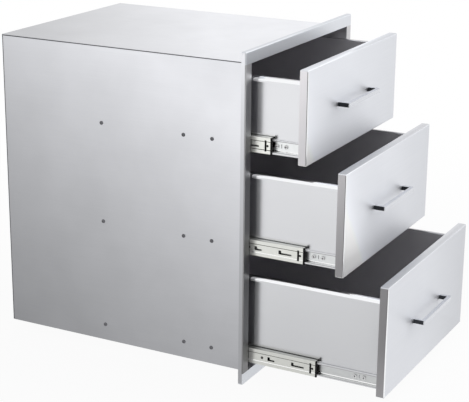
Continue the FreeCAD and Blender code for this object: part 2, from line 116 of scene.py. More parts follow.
def round_edges(radius, steps, test):
    """Round the edges that pass the test."""
    pick("EDGE", test)
    bpy.ops.mesh.bevel(offset=radius, segments=steps, affect="EDGES", clamp_overlap=True)


def apply_modifier(piece, kind, **settings):
    """Add a modifier, give it its settings and apply it."""
    choose(piece)
    modifier = piece.modifiers.new(kind.title(), kind)
    for key, value in settings.items():
        setattr(modifier, key, value)
    bpy.ops.object.modifier_apply(modifier=modifier.name)


def start_shaping(name):
    """Name the primitive just added, put its place in its mesh and go to edit mode."""
    bpy.context.object.name = name
    bpy.ops.object.transform_apply(location=True, rotation=True, scale=True)
    bpy.ops.object.mode_set(mode="EDIT")
    return bpy.context.object


def add_block(name, low, high):
    """A block between two corners, left in edit mode."""
    leave_edit_mode()
    bpy.ops.object.select_all(action="DESELECT")
    low, high = Vector(low), Vector(high)
    bpy.ops.mesh.primitive_cube_add(size=1, location=(low + high) / 2, scale=high - low)
    return start_shaping(name)


print("modelling helpers ready")

# %% [markdown]
# ## Finishing a piece
# Each piece is smoothed across its small folds only, so the flat faces stay flat. Then it
# rides on its CAD body, and the CAD nodes in its place are hidden. A face may take a second
# finish, as the dark inside of a sheet whose outside is brushed.

# %% Helpers for finishing
SMOOTH_ANGLE = math.radians(40)


def settle(piece, body, slot, nodes, *materials):
    """Smooth the piece, give it its materials and put it on its body."""
    choose(piece)
    bpy.ops.object.shade_smooth_by_angle(angle=SMOOTH_ANGLE)
    apply_modifier(piece, "WEIGHTED_NORMAL", keep_sharp=True)
    for material in materials:
        piece.data.materials.append(material)
    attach(piece, body)
    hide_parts(*nodes)
    print(piece.name, len(piece.data.polygons), "faces")
    return piece


def second_finish(piece, test, number=1):
    """Give the faces that pass the test another of the piece's materials, counted from 0."""
    faces = [face for face in piece.data.polygons if test(face)]
    for face in faces:
        face.material_index = number
    return len(faces)


def twin(piece, name, shift=(0, 0, 0), flip=False):
    """A copy with its own mesh, mirrored to the unit's other side or shifted."""
    leave_edit_mode()
    copy = piece.copy()
    copy.data = piece.data.copy()
    copy.name = name
    copy.parent = None
    bpy.context.collection.objects.link(copy)
    if flip:
        copy.data.transform(Matrix.Scale(-1, 4, (1, 0, 0)))
        copy.data.flip_normals()
    copy.data.transform(Matrix.Translation(shift))
    return copy


print("finishing helpers ready")

# %% [markdown]
# ## Nodes and colours
# One function turns a written sRGB colour into the linear one that shaders use, and one adds a
# node with its settings and links. Every finish below is built with these two. A large sheet
# mirrors surroundings that run from light to dark, and a finish may carry them as runs of tone,
# which are painted shade and reflection: its colour is scaled from one place of the piece to
# another, between two levels.

# %% Helpers for materials
USUAL = {"From Min": 0.3, "From Max": 0.7}  # a noise's values seldom leave this range


def colour(text):
    """Linear colour of an sRGB hex value."""
    parts = [int(text[i:i + 2], 16) / 255 for i in (1, 3, 5)]
    return [c / 12.92 if c <= 0.04045 else ((c + 0.055) / 1.055) ** 2.4 for c in parts] + [1.0]


def darker(text, level):
    """Linear colour of an sRGB hex value, scaled to a lower level."""
    return [c * level for c in colour(text)[:3]] + [1.0]


def add(tree, kind, inputs=None, **settings):
    """Add a node; an input is a value, or another node's output to link from."""
    made = tree.nodes.new(kind)
    for key, value in settings.items():
        setattr(made, key, value)
    for key, value in (inputs or {}).items():
        if isinstance(value, bpy.types.NodeSocket):
            tree.links.new(value, made.inputs[key])
        else:
            made.inputs[key].default_value = value
    return made


def empty_material(name):
    """A material without nodes but one, which gives the place that its patterns start from."""
    material = bpy.data.materials.new(name)
    material.use_nodes = True
    tree = material.node_tree
    tree.nodes.clear()
    place = add(tree, "ShaderNodeTexCoord").outputs["Object"]
    return material, tree, place


def toned(tree, place, shade, tones):
    """Scale a colour along runs of tone.

    A run paints shade and light: start and end place, levels there, a power that bends it.
    """
    for start, end, low, high, power in tones:
        run = Vector(end) - Vector(start)
        offset = add(tree, "ShaderNodeVectorMath", {0: place, 1: start}, operation="SUBTRACT")
        share = add(tree, "ShaderNodeVectorMath", {0: offset.outputs[0],
                                                   1: run / run.length_squared},
                    operation="DOT_PRODUCT")
        share = add(tree, "ShaderNodeMath", {0: share.outputs["Value"], 1: 0.0},
                    operation="MAXIMUM")
        share = add(tree, "ShaderNodeMath", {0: share.outputs[0], 1: power}, operation="POWER")
        ramp = add(tree, "ShaderNodeMapRange", {"Value": share.outputs[0], "To Min": low,
                                                "To Max": high})
        shade = add(tree, "ShaderNodeVectorMath", {0: shade, "Scale": ramp.outputs[0]},
                    operation="SCALE").outputs[0]
    return shade


print("steel grey as written and linear:", [round(c, 3) for c in colour("#d8d9dd")[:3]])

# %% [markdown]
# ## Brushed stainless steel
# The box, frame, fronts and trays are 304 stainless sheet with a number 4 brushed finish: a
# belt leaves fine parallel scratches that spread every reflection along one direction. A noise
# stretched along the grain makes those scratches for the bump and the roughness. The real ones
# are about 0.1 mm wide; here they are 0.8 mm, so that a render can hold them. A wide soft
# noise lets the tone drift a little, as it does on real sheet, and more on the large sides and
# the top. The fronts and the frame are brushed sideways, which draws reflections out upwards.
# Where the sheet is folded, its scratches are stretched flat and it mirrors more, and a lighter
# colour there adds a painted highlight. The folded tops of the two lower fronts and the rims of
# the trays are greyer strips of the same steel, painted shade.

# %% Brushed stainless steel
SCRATCH_WIDTH = 0.8 * MM
SCRATCH_LENGTH = 90 * MM
CLOUD_WIDTH = 80 * MM


def brushed_steel(name, steel, grain, rough=0.34, smear=0.0, depth=1.0, clouds=0.008, tones=()):
    """Brushed sheet with its grain along one axis.

    Smear draws out reflections, depth scales the scratches, and clouds says by what share the
    tone drifts up and down.
    """
    material, tree, place = empty_material(name)
    fine = [1 / SCRATCH_WIDTH] * 3
    fine[grain] = 1 / SCRATCH_LENGTH
    scratches = add(tree, "ShaderNodeTexNoise", {
        "Vector": add(tree, "ShaderNodeMapping", {"Vector": place, "Scale": fine}).outputs[0],
        "Scale": 1.0, "Detail": 3.0, "Roughness": 0.6}).outputs["Fac"]
    drift = add(tree, "ShaderNodeTexNoise", {"Vector": place, "Scale": 1 / CLOUD_WIDTH,
                                             "Detail": 3.0})
    shade = add(tree, "ShaderNodeMapRange", {"Value": scratches, **USUAL, "To Min": 0.0,
                                             "To Max": 0.08 * depth})
    base = add(tree, "ShaderNodeMix", {"Factor": shade.outputs[0], "A": colour(steel),
                                       "B": darker(steel, 0.8)}, data_type="RGBA")
    soft = add(tree, "ShaderNodeMapRange", {"Value": drift.outputs["Fac"], **USUAL,
                                            "To Min": 1 - clouds, "To Max": 1 + clouds})
    drifted = add(tree, "ShaderNodeVectorMath", {0: base.outputs["Result"],
                                                 "Scale": soft.outputs[0]}, operation="SCALE")
    result = toned(tree, place, drifted.outputs[0], tones)
    spread = add(tree, "ShaderNodeMapRange", {"Value": scratches, **USUAL,
                                              "To Min": rough - 0.04 * depth,
                                              "To Max": rough + 0.05 * depth})
    bump = add(tree, "ShaderNodeBump", {"Height": scratches, "Strength": 0.06 * depth,
                                        "Distance": 0.1 * MM})
    shader = add(tree, "ShaderNodeBsdfPrincipled", {
        "Base Color": result, "Metallic": 1.0, "Roughness": spread.outputs[0],
        "Anisotropic": smear, "Anisotropic Rotation": 0.25, "Normal": bump.outputs[0]})
    add(tree, "ShaderNodeOutputMaterial", {"Surface": shader.outputs[0]})
    return material


# The box and its frame carry painted shade and reflection: the sides are darkest low at the
# back, the top at its rear left.
side_steel = brushed_steel("brushed_stainless_sides", "#dedfe3", Y, clouds=0.03, tones=[
    ((0, 0.825, -1.353), (0, -0.242, 0.398), 0.21, 1.235, 5.0)])
# Painted shade: the frame's outer sides darken downwards, and its upright lengths beside the
# opening are darker still and darken downwards too.
frame_side_steel = brushed_steel("brushed_stainless_frame_sides", "#dedfe3", Z, tones=[
    ((0, 0, 0.03), (0, 0, 0.53), 0.55, 1.28, 1.8)])
stile_shaded_steel = brushed_steel("brushed_stainless_stiles_painted_shade", "#dcdcde", X, rough=0.42, smear=0.7,
                            tones=[((0, 0, 0.0), (0, 0, 0.5), 0.3, 0.8, 1.0)])
top_steel = brushed_steel("brushed_stainless_top", "#dedfe3", Y, clouds=0.03, tones=[
    ((-0.187, 0.19, 0), (-0.015, -0.081, 0), 0.68, 1.15, 1.0)])
frame_steel = brushed_steel("brushed_stainless_frame", "#dadde2", X, rough=0.42, smear=0.7)

# Painted shade and reflection on the fronts: they grow a little lighter upwards and darker to
# the right, and the two upper ones also grow lighter towards their lower left corner.
upwards = ((0, 0, 0.05), (0, 0, 0.5), 0.94)
to_the_right = ((-0.02, 0, 0), (0.16, 0, 0), 1.0)
front_painted_tones = {
    "top": [(*upwards, 1.02, 1.0), (*to_the_right, 0.935, 1.0),
            ((0, 0, 0.5), (-0.18, 0, 0.37), 1.0, 1.45, 5.0)],
    "middle": [(*upwards, 1.03, 1.0), (*to_the_right, 0.91, 1.0),
               ((0, 0, 0.33), (-0.18, 0, 0.2), 1.0, 2.3, 4.5)],
    "bottom": [(*upwards, 1.0, 1.0), (*to_the_right, 0.87, 1.0)]}
front_steel = {level: brushed_steel(f"brushed_stainless_{level}_front", "#e2e4e9", X, rough=0.46,
                                    smear=0.8, tones=front_painted_tones[level]) for level in LEVELS}

# Folded edges: greyer strips on top with painted shade, smooth folds that mirror more and carry
# a painted highlight in their lighter colour, and sides whose painted shade darkens downwards
# and to the front.
strip_shaded_steel = brushed_steel("brushed_stainless_front_tops_painted_shade", "#d9dade", X, rough=0.4, smear=0.6,
                            tones=[((-0.19, 0, 0), (0.12, 0, 0), 0.74, 0.98, 1.0)])
fold_highlight_steel = brushed_steel("stretched_stainless_folds_painted_highlight", "#f8f9fb", Y, rough=0.09)
edge_steel = brushed_steel("brushed_stainless_folded_edges", "#e5e3e6", Z, tones=[
    ((0, -0.449, 0.264), (0, -0.26, 0.448), 0.42, 1.14, 1.0)])

# The trays' finer brushing leaves soft reflections, and painted shade darkens them downwards;
# the rims' tops are greyer, painted shade. The handles are a little smoother.
tray_steel = brushed_steel("brushed_stainless_trays", "#e8e9ec", Y, rough=0.25, smear=0.2,
                           depth=0.25, tones=[((0, 0, 0.05), (0, 0, 0.45), 0.75, 1.03, 1.0)])
rim_shaded_steel = brushed_steel("brushed_stainless_tray_rims_painted_shade", "#bebec1", Y, rough=0.3)
handle_steel = brushed_steel("satin_stainless_handles", "#d8dadf", X, rough=0.26)
print("brushed finishes:", side_steel.name, frame_steel.name, tray_steel.name)

# %% [markdown]
# ## The insides
# The inner faces of the box and the drawers keep the dull 2B finish that the sheet has from
# the mill. It isn't brushed, so it has no grain: only soft clouds about 60 mm wide. Inside a
# nearly closed box it shows as charcoal, since each reflection loses light.

# %% Mill finish for the inner faces
PEEL_WIDTH = 1.5 * MM
MILL_CLOUD_WIDTH = 60 * MM


def mill_finish(name, tint, rough):
    """Dull sheet with a fine peel in its gloss and soft clouds in its tone."""
    material, tree, place = empty_material(name)
    peel = add(tree, "ShaderNodeTexNoise", {"Vector": place, "Scale": 1 / PEEL_WIDTH,
                                            "Detail": 2.0})
    cloud = add(tree, "ShaderNodeTexNoise", {"Vector": place, "Scale": 1 / MILL_CLOUD_WIDTH,
                                             "Detail": 2.0})
    base = add(tree, "ShaderNodeMix", {"Factor": cloud.outputs["Fac"], "A": colour(tint),
                                       "B": darker(tint, 0.85)}, data_type="RGBA")
    spread = add(tree, "ShaderNodeMapRange", {"Value": peel.outputs["Fac"],
                                              "To Min": rough - 0.05, "To Max": rough + 0.08})
    bump = add(tree, "ShaderNodeBump", {"Height": peel.outputs["Fac"], "Strength": 0.1,
                                        "Distance": 0.05 * MM})
    shader = add(tree, "ShaderNodeBsdfPrincipled", {
        "Base Color": base.outputs["Result"], "Metallic": 1.0, "Roughness": spread.outputs[0],
        "Normal": bump.outputs[0]})
    add(tree, "ShaderNodeOutputMaterial", {"Surface": shader.outputs[0]})
    return material


inside_coat = mill_finish("mill_finish_inside", "#e0dfe3", 0.56)
print("inside finish:", inside_coat.name)

# %% [markdown]
# ## Slides, balls and fasteners
# The slide sections are roll-formed steel with bright zinc plating, which has a faint warm
# mottle of about 8 mm; painted shade makes it darker lower down the unit. The faces that look
# up are smoother and carry a painted highlight, a line of light: the drawer sections' flanges,
# and the lower creases of the lower slides' middle sections. Painted shade darkens the other
# creases, the drawer sections' slot and the round hole. Cut edges, cages and rivets are plain
# steel, a little greyer. The end pieces are black moulded nylon. The box's seam, the back
# sheet's edges, the screw recesses and the handles' legs are coloured dark grey: painted shade
# and reflection. All of them differ only in colour, gloss and the size of their mottle, so one
# function makes them.

# %% Zinc, plain steel and nylon
METAL, NOT_METAL = 1.0, 0.0


def mottled(name, first, second, size, rough, metal, lumps, tones=(), shine=0.5):
    """Two close colours in soft patches; their size and the height of lumps in millimetres."""
    material, tree, place = empty_material(name)
    patches = add(tree, "ShaderNodeTexNoise", {"Vector": place, "Scale": 1 / (size * MM),
                                               "Detail": 4.0}).outputs["Fac"]
    base = add(tree, "ShaderNodeMix", {"Factor": patches, "A": colour(first),
                                       "B": colour(second)}, data_type="RGBA")
    spread = add(tree, "ShaderNodeMapRange", {"Value": patches, "To Min": rough - 0.06,
                                              "To Max": rough + 0.06})
    bump = add(tree, "ShaderNodeBump", {"Height": patches, "Strength": 0.2,
                                        "Distance": lumps * MM})
    shader = add(tree, "ShaderNodeBsdfPrincipled", {
        "Base Color": toned(tree, place, base.outputs["Result"], tones),
        "Metallic": metal, "Roughness": spread.outputs[0], "Specular IOR Level": shine,
        "Normal": bump.outputs[0]})
    add(tree, "ShaderNodeOutputMaterial", {"Surface": shader.outputs[0]})
    return material


# Painted shade: the slides grow darker towards the bottom of the unit, while the painted highlight
# on the faces that look up grows stronger there.
up_the_slides = ((0, 0, 0.03), (0, 0, 0.4))
zinc = mottled("bright_zinc_plate", "#e9e9e4", "#dddfda", 8.0, 0.3, METAL, 0.05,
               tones=[(*up_the_slides, 0.86, 1.2, 1.0)])
drawer_zinc = mottled("bright_zinc_plate_drawer_rails", "#eef0f0", "#e6e8e9", 8.0, 0.33,
                      METAL, 0.05, tones=[(*up_the_slides, 0.73, 1.15, 1.0)])
# Smoother zinc for the faces that look up; its lighter colour is a painted highlight.
smooth_highlight_zinc = mottled("smooth_zinc_with_painted_highlight", "#fafafa", "#f0f0f0", 8.0, 0.15,
                      METAL, 0.03, tones=[(*up_the_slides, 1.5, 1.2, 1.0)])
cage_steel = mottled("plain_steel_cages", "#a9a9ab", "#9a9a9c", 5.0, 0.32, METAL, 0.05)
dark_steel = mottled("dark_rivet_steel", "#77777a", "#66666a", 3.0, 0.4, METAL, 0.05)
screw_steel = mottled("nickel_screws", "#e2e2e2", "#d2d2d4", 4.0, 0.25, METAL, 0.03)
# Painted shade and reflection: dark grey for the back sheet's edges, the screw recesses and the
# handles' legs.
painted_dark = mottled("painted_dark_shade_and_reflection", "#4a4c50", "#3a3c40", 4.0, 0.38, METAL, 0.05)
# Painted shade for the creases, the drawer sections' slot and the plug in the round hole.
painted_slide_shade = mottled("painted_shade_on_slides", "#5c5b58", "#4a4947", 6.0, 0.3, METAL, 0.04)
# Painted shade for the open seam under the top sheet's edge.
seam_shade = mottled("painted_seam_shade", "#2c2c30", "#3a3a3e", 3.0, 0.6, NOT_METAL, 0.1)
nylon = mottled("black_moulded_nylon", "#0e0e10", "#161618", 2.0, 0.6, NOT_METAL, 0.08,
                shine=0.2)
print("slide and fastener finishes ready")

# %% [markdown]
# ## The box sides
# Each side is a flat sheet that ends below the top sheet's edge and in front of the back
# sheet. A block is enough to start from: its outer edges are rounded, the rear one most, because
# that bend catches a line of light. The face towards the drawers keeps the mill finish.

# %% Left and right side sheets
low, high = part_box("left_side_panel")
left_side = add_block("left_side_sheet", low, high)
round_edges(1.0 * MM, 4, lambda e: middle(e).x < low.x + TINY and middle(e).y > high.y - TINY)
round_edges(0.35 * MM, 2, lambda e: middle(e).x < low.x + TINY and along(e, Y))
right_side = twin(left_side, "right_side_sheet", flip=True)
settle(left_side, "cabinet", "box_steel", ["left_side_panel"], side_steel, inside_coat)
print(second_finish(left_side, lambda f: f.normal.x > 0.9), "face inside")
settle(right_side, "cabinet", "box_steel", ["right_side_panel"], side_steel, inside_coat)
second_finish(right_side, lambda f: f.normal.x < -0.9)

# %% [markdown]
# ## Folded sheet
# A folded sheet is easiest to make in the way it was folded. Its section is drawn as a line of
# points, pulled to length, bent at its corners by a bevel, and then given its thickness. Cut from
# a block, every bend would have to be made twice, outside and inside.

# %% Helpers for folded sheet
def face_outwards():
    """Turn all faces of the piece in edit mode outwards."""
    bpy.ops.mesh.select_all(action="SELECT")
    bpy.ops.mesh.normals_make_consistent(inside=False)


def draw_strip(name, section, start, end):
    """Sheet without thickness: its section is drawn point by point and pulled to length."""
    leave_edit_mode()
    bpy.ops.object.select_all(action="DESELECT")
    points = [Vector((x, start, z)) for x, z in section]
    bpy.ops.mesh.primitive_plane_add(size=MM, location=points[0])
    piece = start_shaping(name)
    bpy.ops.mesh.select_mode(type="VERT")
    bpy.ops.mesh.select_all(action="SELECT")
    bpy.ops.mesh.merge(type="CENTER")
    for here, there in zip(points, points[1:]):
        bpy.ops.mesh.extrude_vertices_move(TRANSFORM_OT_translate={"value": there - here})
    bpy.ops.mesh.select_mode(type="EDGE")
    bpy.ops.mesh.select_all(action="SELECT")
    bpy.ops.mesh.extrude_edges_move(TRANSFORM_OT_translate={"value": (0, end - start, 0)})
    return piece


def fold(radius, spots):
    """Bend the drawn sheet at some of its section's points."""
    spots = {(round(x, 6), round(z, 6)) for x, z in spots}
    round_edges(radius, 4, lambda e: along(e, Y)
                and (round(middle(e).x, 6), round(middle(e).z, 6)) in spots)


def thicken(piece, thickness):
    """Give drawn sheet its thickness, half to each side, with its faces turned outwards."""
    apply_modifier(piece, "SOLIDIFY", thickness=thickness, offset=0, use_even_offset=True)
    bpy.ops.object.mode_set(mode="EDIT")
    face_outwards()


print("sheet helpers ready")

# %% [markdown]
# ## The bottom
# The bottom sheet has a flange folded up along each side. Its face inside the box keeps the mill
# finish.

# %% Bottom sheet
sheet = 1.2 * MM
low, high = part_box("bottom_panel")
skin, lip = low.z + sheet / 2, high.z
left, right = low.x + sheet / 2, high.x - sheet / 2
section = [(left, lip), (left, skin), (right, skin), (right, lip)]
bottom = draw_strip("bottom_sheet", section, low.y, high.y)
fold(1.3 * MM, section[1:3])
thicken(bottom, sheet)
settle(bottom, "cabinet", "box_steel", ["bottom_panel"], top_steel, inside_coat)
second_finish(bottom, lambda f: f.normal.z > 0.9 and abs(f.center.z - skin) < MM)

# %% [markdown]
# ## The top
# The top sheet lies over the sides, and its flanges hang inside them, so an open seam 1.2 mm
# high runs along the box's upper edge. The flange's outer faces in the seam are coloured dark
# grey, painted shade, which makes the thin dark line there. The sheet is a thin block divided
# along its flanges, whose undersides are then pulled down.

# %% Top sheet
def pull(shift):
    """Extrude the selected faces by a shift."""
    bpy.ops.mesh.extrude_region_move(TRANSFORM_OT_translate={"value": shift})


def divide(axis, *places):
    """Divide the whole piece by planes across an axis."""
    normal = Vector()
    normal[axis] = 1
    for place in places:
        bpy.ops.mesh.select_all(action="SELECT")
        bpy.ops.mesh.bisect(plane_co=normal * place, plane_no=normal)


low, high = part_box("top_panel")
flange = -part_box("left_side_panel")[1].x
skin = high.z - sheet
top = add_block("top_sheet", (low.x, low.y, skin), high)
divide(X, -flange, sheet - flange, flange - sheet, flange)
pick("FACE", lambda f: f.normal.z < -0.9 and flange - sheet < abs(middle(f).x) < flange)
pull((0, 0, low.z - skin))
round_edges(0.5 * MM, 3, lambda e: along(e, Y) and abs(middle(e).x) > high.x - TINY)
settle(top, "cabinet", "box_steel", ["top_panel"], top_steel, inside_coat, seam_shade)
second_finish(top, lambda f: f.normal.z < -0.9 and f.center.z > skin - TINY)
second_finish(top, lambda f: abs(f.normal.x) > 0.9
              and abs(abs(f.center.x) - flange) < 10 * TINY, 2)

# %% [markdown]
# ## The back
# The back sheet covers the ends of the others. Its cut edge is coloured dark, painted shade,
# and shows as a second thin line down the rear edge of each side.

# %% Back sheet
low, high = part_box("back_panel")
back = add_block("back_sheet", low, high)
round_edges(0.3 * MM, 2, lambda e: middle(e).y > high.y - TINY)
settle(back, "cabinet", "box_steel", ["back_panel"], top_steel, inside_coat, painted_dark)
second_finish(back, lambda f: f.normal.y < -0.9)
second_finish(back, lambda f: abs(f.normal.x) > 0.9, 2)

# %% [markdown]
# ## The front frame
# The frame is one welded piece: a flat face with its outer edge folded back 8.3 mm all round.
# A block gets rounded corners and a rounded front edge, loses its back, has its opening cut,
# and is then thickened inwards to sheet metal. The folded edge has a narrow slit near each
# corner, where two folds meet. Its outer sides and its upright lengths are lit differently from
# the rest, so they take finishes of their own with painted shade, darker low down.

# %% Front frame
def drop_faces(test):
    """Delete the faces that pass the test."""
    pick("FACE", test)
    bpy.ops.mesh.delete(type="FACE")


def cut_out(piece, low, high, radius=0):
    """Cut a block-shaped opening through the piece; a radius rounds its edges along X."""
    punch = add_block("punch", low, high)
    if radius:
        round_edges(radius, 4, lambda e: along(e, X))
    apply_modifier(piece, "BOOLEAN", object=punch, operation="DIFFERENCE", solver="EXACT")
    bpy.data.objects.remove(punch)


outer_low, inner_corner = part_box("frame_left_stile")
outer_high = Vector((-outer_low.x, inner_corner.y, inner_corner.z))
opening_half = -inner_corner.x
opening_low, opening_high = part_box("frame_bottom_rail")[1].z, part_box("frame_top_rail")[0].z
frame_piece = add_block("front_frame", outer_low, outer_high)
drop_faces(lambda f: f.normal.y > 0.9)
round_edges(2.2 * MM, 4, lambda e: along(e, Y))
round_edges(2.0 * MM, 4, lambda e: middle(e).y < outer_low.y + TINY)
divide(X, -opening_half, opening_half)
divide(Z, opening_low, opening_high)
drop_faces(lambda f: f.normal.y < -0.9 and abs(middle(f).x) < opening_half
           and opening_low < middle(f).z < opening_high)
apply_modifier(frame_piece, "SOLIDIFY", thickness=sheet, offset=-1)
slit, plate = 0.8 * MM, 2.4 * MM
for place in (outer_high.z - 2.6 * MM, outer_low.z + 1.8 * MM):
    cut_out(frame_piece, (outer_low.x - MM, outer_low.y + plate, place),
            (outer_high.x + MM, outer_high.y + MM, place + slit))
settle(frame_piece, "cabinet", "frame_steel",
       ["frame_left_stile", "frame_right_stile", "frame_top_rail", "frame_bottom_rail"],
       frame_steel, frame_side_steel, stile_shaded_steel)
# Painted shade on the outer sides and on the upright lengths beside the opening.
second_finish(frame_piece, lambda f: abs(f.normal.x) > 0.9)
second_finish(frame_piece, lambda f: f.normal.y < -0.1 and abs(f.normal.z) < 0.1
              and abs(f.center.x) > opening_half and opening_low < f.center.z < opening_high, 2)

# %% [markdown]
# ## Rivets
# Nine blind rivets hold the slides on each side. A blind rivet has a low domed head with a
# pit in the middle where its pin broke off. One is shaped from a short cylinder and copied to
# each place, and the copies of one side are joined, as the CAD node has all nine.

# %% Rivets on both sides
def join_up(parts, name):
    """Join copies to one piece."""
    choose(*parts)
    bpy.ops.object.join()
    parts[0].name = name
    return parts[0]


def drum(name, place, radius, height):
    """A short cylinder along X from its place towards -X, in edit mode."""
    leave_edit_mode()
    bpy.ops.object.select_all(action="DESELECT")
    bpy.ops.mesh.primitive_cylinder_add(
        vertices=24, radius=radius, depth=height, end_fill_type="NGON",
        location=Vector(place) - Vector((height / 2, 0, 0)), rotation=(0, math.pi / 2, 0))
    return start_shaping(name)


def mid_height(node):
    """The height of a node's middle."""
    low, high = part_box(node)
    return (low.z + high.z) / 2


rivet_places = (68.0, 120.7, 277.6)  # millimetres behind the frame's face
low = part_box("left_rail_rivets")[0]
front_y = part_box("frame_left_stile")[0].y
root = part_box("left_side_panel")[0].x + 0.2 * MM
rivet = drum("rivet", (root, 0, 0), 3.3 * MM, root - low.x)
round_edges(0.8 * MM, 3, lambda e: middle(e).x < low.x + TINY)
pick("FACE", lambda f: f.normal.x < -0.9 and len(f.verts) > 8)
bpy.ops.mesh.inset(thickness=1.3 * MM)
pull((0.7 * MM, 0, 0))
spots = [(0, front_y + y * MM, mid_height(f"{level}_left_cabinet_rail"))
         for level in LEVELS for y in rivet_places]
heads = join_up([twin(rivet, f"rivet_{i}", spot) for i, spot in enumerate(spots)], "left_rivets")
bpy.data.objects.remove(rivet)
right_heads = twin(heads, "right_rivets", flip=True)
settle(heads, "cabinet", "fastener_steel", ["left_rail_rivets"], dark_steel)
settle(right_heads, "cabinet", "fastener_steel", ["right_rail_rivets"], dark_steel)

# %% [markdown]
# ## Drawer fronts
# A drawer front is a shallow pan: a brushed face with its four edges folded back 14 mm, and
# small rounded corners. The block loses its back, its corners and front edge are rounded, and
# it is thickened inwards. The folded sides, the upright folds and the strips on top of the two
# lower fronts have their own finishes: painted shade on the sides and strips, and on the
# smoother folds a painted highlight.

# %% Drawer fronts
for level in LEVELS:
    low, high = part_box(f"{level}_front_skin")
    pan = add_block(f"{level}_front_pan", low, high)
    drop_faces(lambda f: f.normal.y > 0.9)
    round_edges(2.0 * MM, 4, lambda e: along(e, Y))
    round_edges(2.4 * MM, 6, lambda e: middle(e).y < low.y + TINY)
    apply_modifier(pan, "SOLIDIFY", thickness=1.0 * MM, offset=-1)
    settle(pan, f"{level}_drawer", "front_steel", [f"{level}_front_skin"], front_steel[level],
           edge_steel, fold_highlight_steel, strip_shaded_steel)
    # Painted shade on the folded sides and the lower fronts' top strips, a painted highlight on
    # the upright folds.
    second_finish(pan, lambda f: abs(f.normal.x) > 0.9)
    second_finish(pan, lambda f: 0.1 < abs(f.normal.x) < 0.95 and f.normal.y < -0.1
                  and abs(f.normal.z) < 0.1, 2)
    if level != "top":
        second_finish(pan, lambda f: f.normal.z > 0.9, 3)

# %% [markdown]
# ## Drawer trays
# Each tray is one sheet folded up at both sides. Its top edge is folded outwards over the slide
# and down again, in a soft bend, which stiffens it and leaves no sharp edge to reach over. It is
# drawn as a section and pulled to the drawer's length. The outside is brushed, and every face
# that looks into the drawer keeps the mill finish. The rim's outer bend carries a painted
# highlight and its top a grey painted shade.

# %% Drawer trays
half_sheet = 0.5 * MM
for level in LEVELS:
    low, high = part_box(f"{level}_drawer_tray")
    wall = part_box(f"{level}_right_drawer_rail")[0].x - half_sheet
    edge, floor, ledge = high.x - half_sheet, low.z + half_sheet, high.z - half_sheet
    lip = high.z - 8 * MM
    turned = [(wall, floor), (wall, ledge), (edge, ledge), (edge, lip)]
    section = [(-x, z) for x, z in reversed(turned)] + turned
    tray = draw_strip(f"{level}_tray", section, low.y, high.y)
    fold(1.4 * MM, section[2:6])
    fold(5.0 * MM, [section[1], section[6]])
    thicken(tray, 2 * half_sheet)
    settle(tray, f"{level}_drawer", "tray_steel", [f"{level}_drawer_tray"], tray_steel,
           inside_coat, fold_highlight_steel, rim_shaded_steel)

    def looks_in(face):
        """True if a step off the face leads into the drawer."""
        spot = face.center + face.normal * 0.4 * MM
        return abs(spot.x) < wall - half_sheet and spot.z > floor + half_sheet

    print(second_finish(tray, looks_in), "faces inside the", level, "tray")
    # A painted highlight on the rim's outer bend, and painted shade on its top.
    second_finish(tray, lambda f: f.normal.z > 0.1 and abs(f.normal.x) > 0.1
                  and abs(f.center.x) > edge - 6 * MM and f.center.z > lip, 2)
    second_finish(tray, lambda f: f.normal.z > 0.75 and f.center.z > ledge, 3)

# %% [markdown]
# ## Handles
# The handle is a square bow: a flat bar that stands 19.5 mm off the front on two legs, both
# 6.2 mm thick. A block the size of the bar is cut beside each leg, and its two end faces are
# pulled back to the front. The two outer corners are rounded, then every outer edge a little.
# The legs' sides are coloured near black, a painted dark reflection.

# %% Handles
bar = 6.2 * MM
for level in LEVELS:
    low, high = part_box(f"{level}_handle")
    bow = add_block(f"{level}_bow_handle", low, (high.x, low.y + bar, high.z))
    divide(X, low.x + bar, high.x - bar)
    pick("FACE", lambda f: f.normal.y > 0.9 and abs(middle(f).x) > high.x - bar)
    pull((0, high.y - low.y - bar, 0))
    drop_faces(lambda f: f.normal.y > 0.9 and middle(f).y > high.y - TINY)
    face_outwards()
    round_edges(3.2 * MM, 5, lambda e: along(e, Z) and middle(e).y < low.y + TINY)
    round_edges(0.6 * MM, 2, lambda e: e.is_manifold and e.calc_face_angle(0) > 1.2)
    settle(bow, f"{level}_drawer", "handle_steel", [f"{level}_handle"], handle_steel, painted_dark)
    second_finish(bow, lambda f: abs(f.normal.x) > 0.95)

# %% [markdown]
# ## Slide sections
# A telescopic slide has three rolled channels, one inside the other, with rows of balls
# between their flanges. The middle section's web faces outwards when a drawer is open. Its
# section is drawn with the shallow ball grooves and a recessed web between two creases, and is
# pulled to length.

# %% Middle section of a slide
wall_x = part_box("left_side_panel")[1].x
sample_low, sample_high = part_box("top_left_telescope_rail")
row = mid_height("top_left_telescope_rail")
half_sheet = 0.4 * MM
web = sample_low.x + half_sheet
tall = (sample_high.z - sample_low.z) / 2 - half_sheet
groove, half_groove = wall_x + 5.7 * MM, 1.1 * MM
upper = [(web + 0.38 * MM, 6.3 * MM), (web, 7.4 * MM), (web, tall), (groove - half_groove, tall),
         (groove, tall - 0.25 * MM), (groove + half_groove, tall), (sample_high.x, tall)]
lower = [(x, -z) for x, z in reversed(upper)]
section = [(x, z + row) for x, z in lower + upper]
rail = draw_strip("middle_section", section, sample_low.y, sample_high.y)
round_edges(1.1 * MM, 3, lambda e: along(e, Y) and abs(middle(e).x - web) < TINY
            and abs(abs(middle(e).z - row) - tall) < TINY)
thicken(rail, 2 * half_sheet)
print("middle section", round(2 * (tall + half_sheet) / MM, 1), "mm high")

# %% [markdown]
# ## Punched openings
# The openings are punched through the web before it is rolled, the same ones at both ends: a
# small hole and an upright slot near the end, two slots with a square head for the catch, and a
# round hole. A block with rounded edges cuts each one.

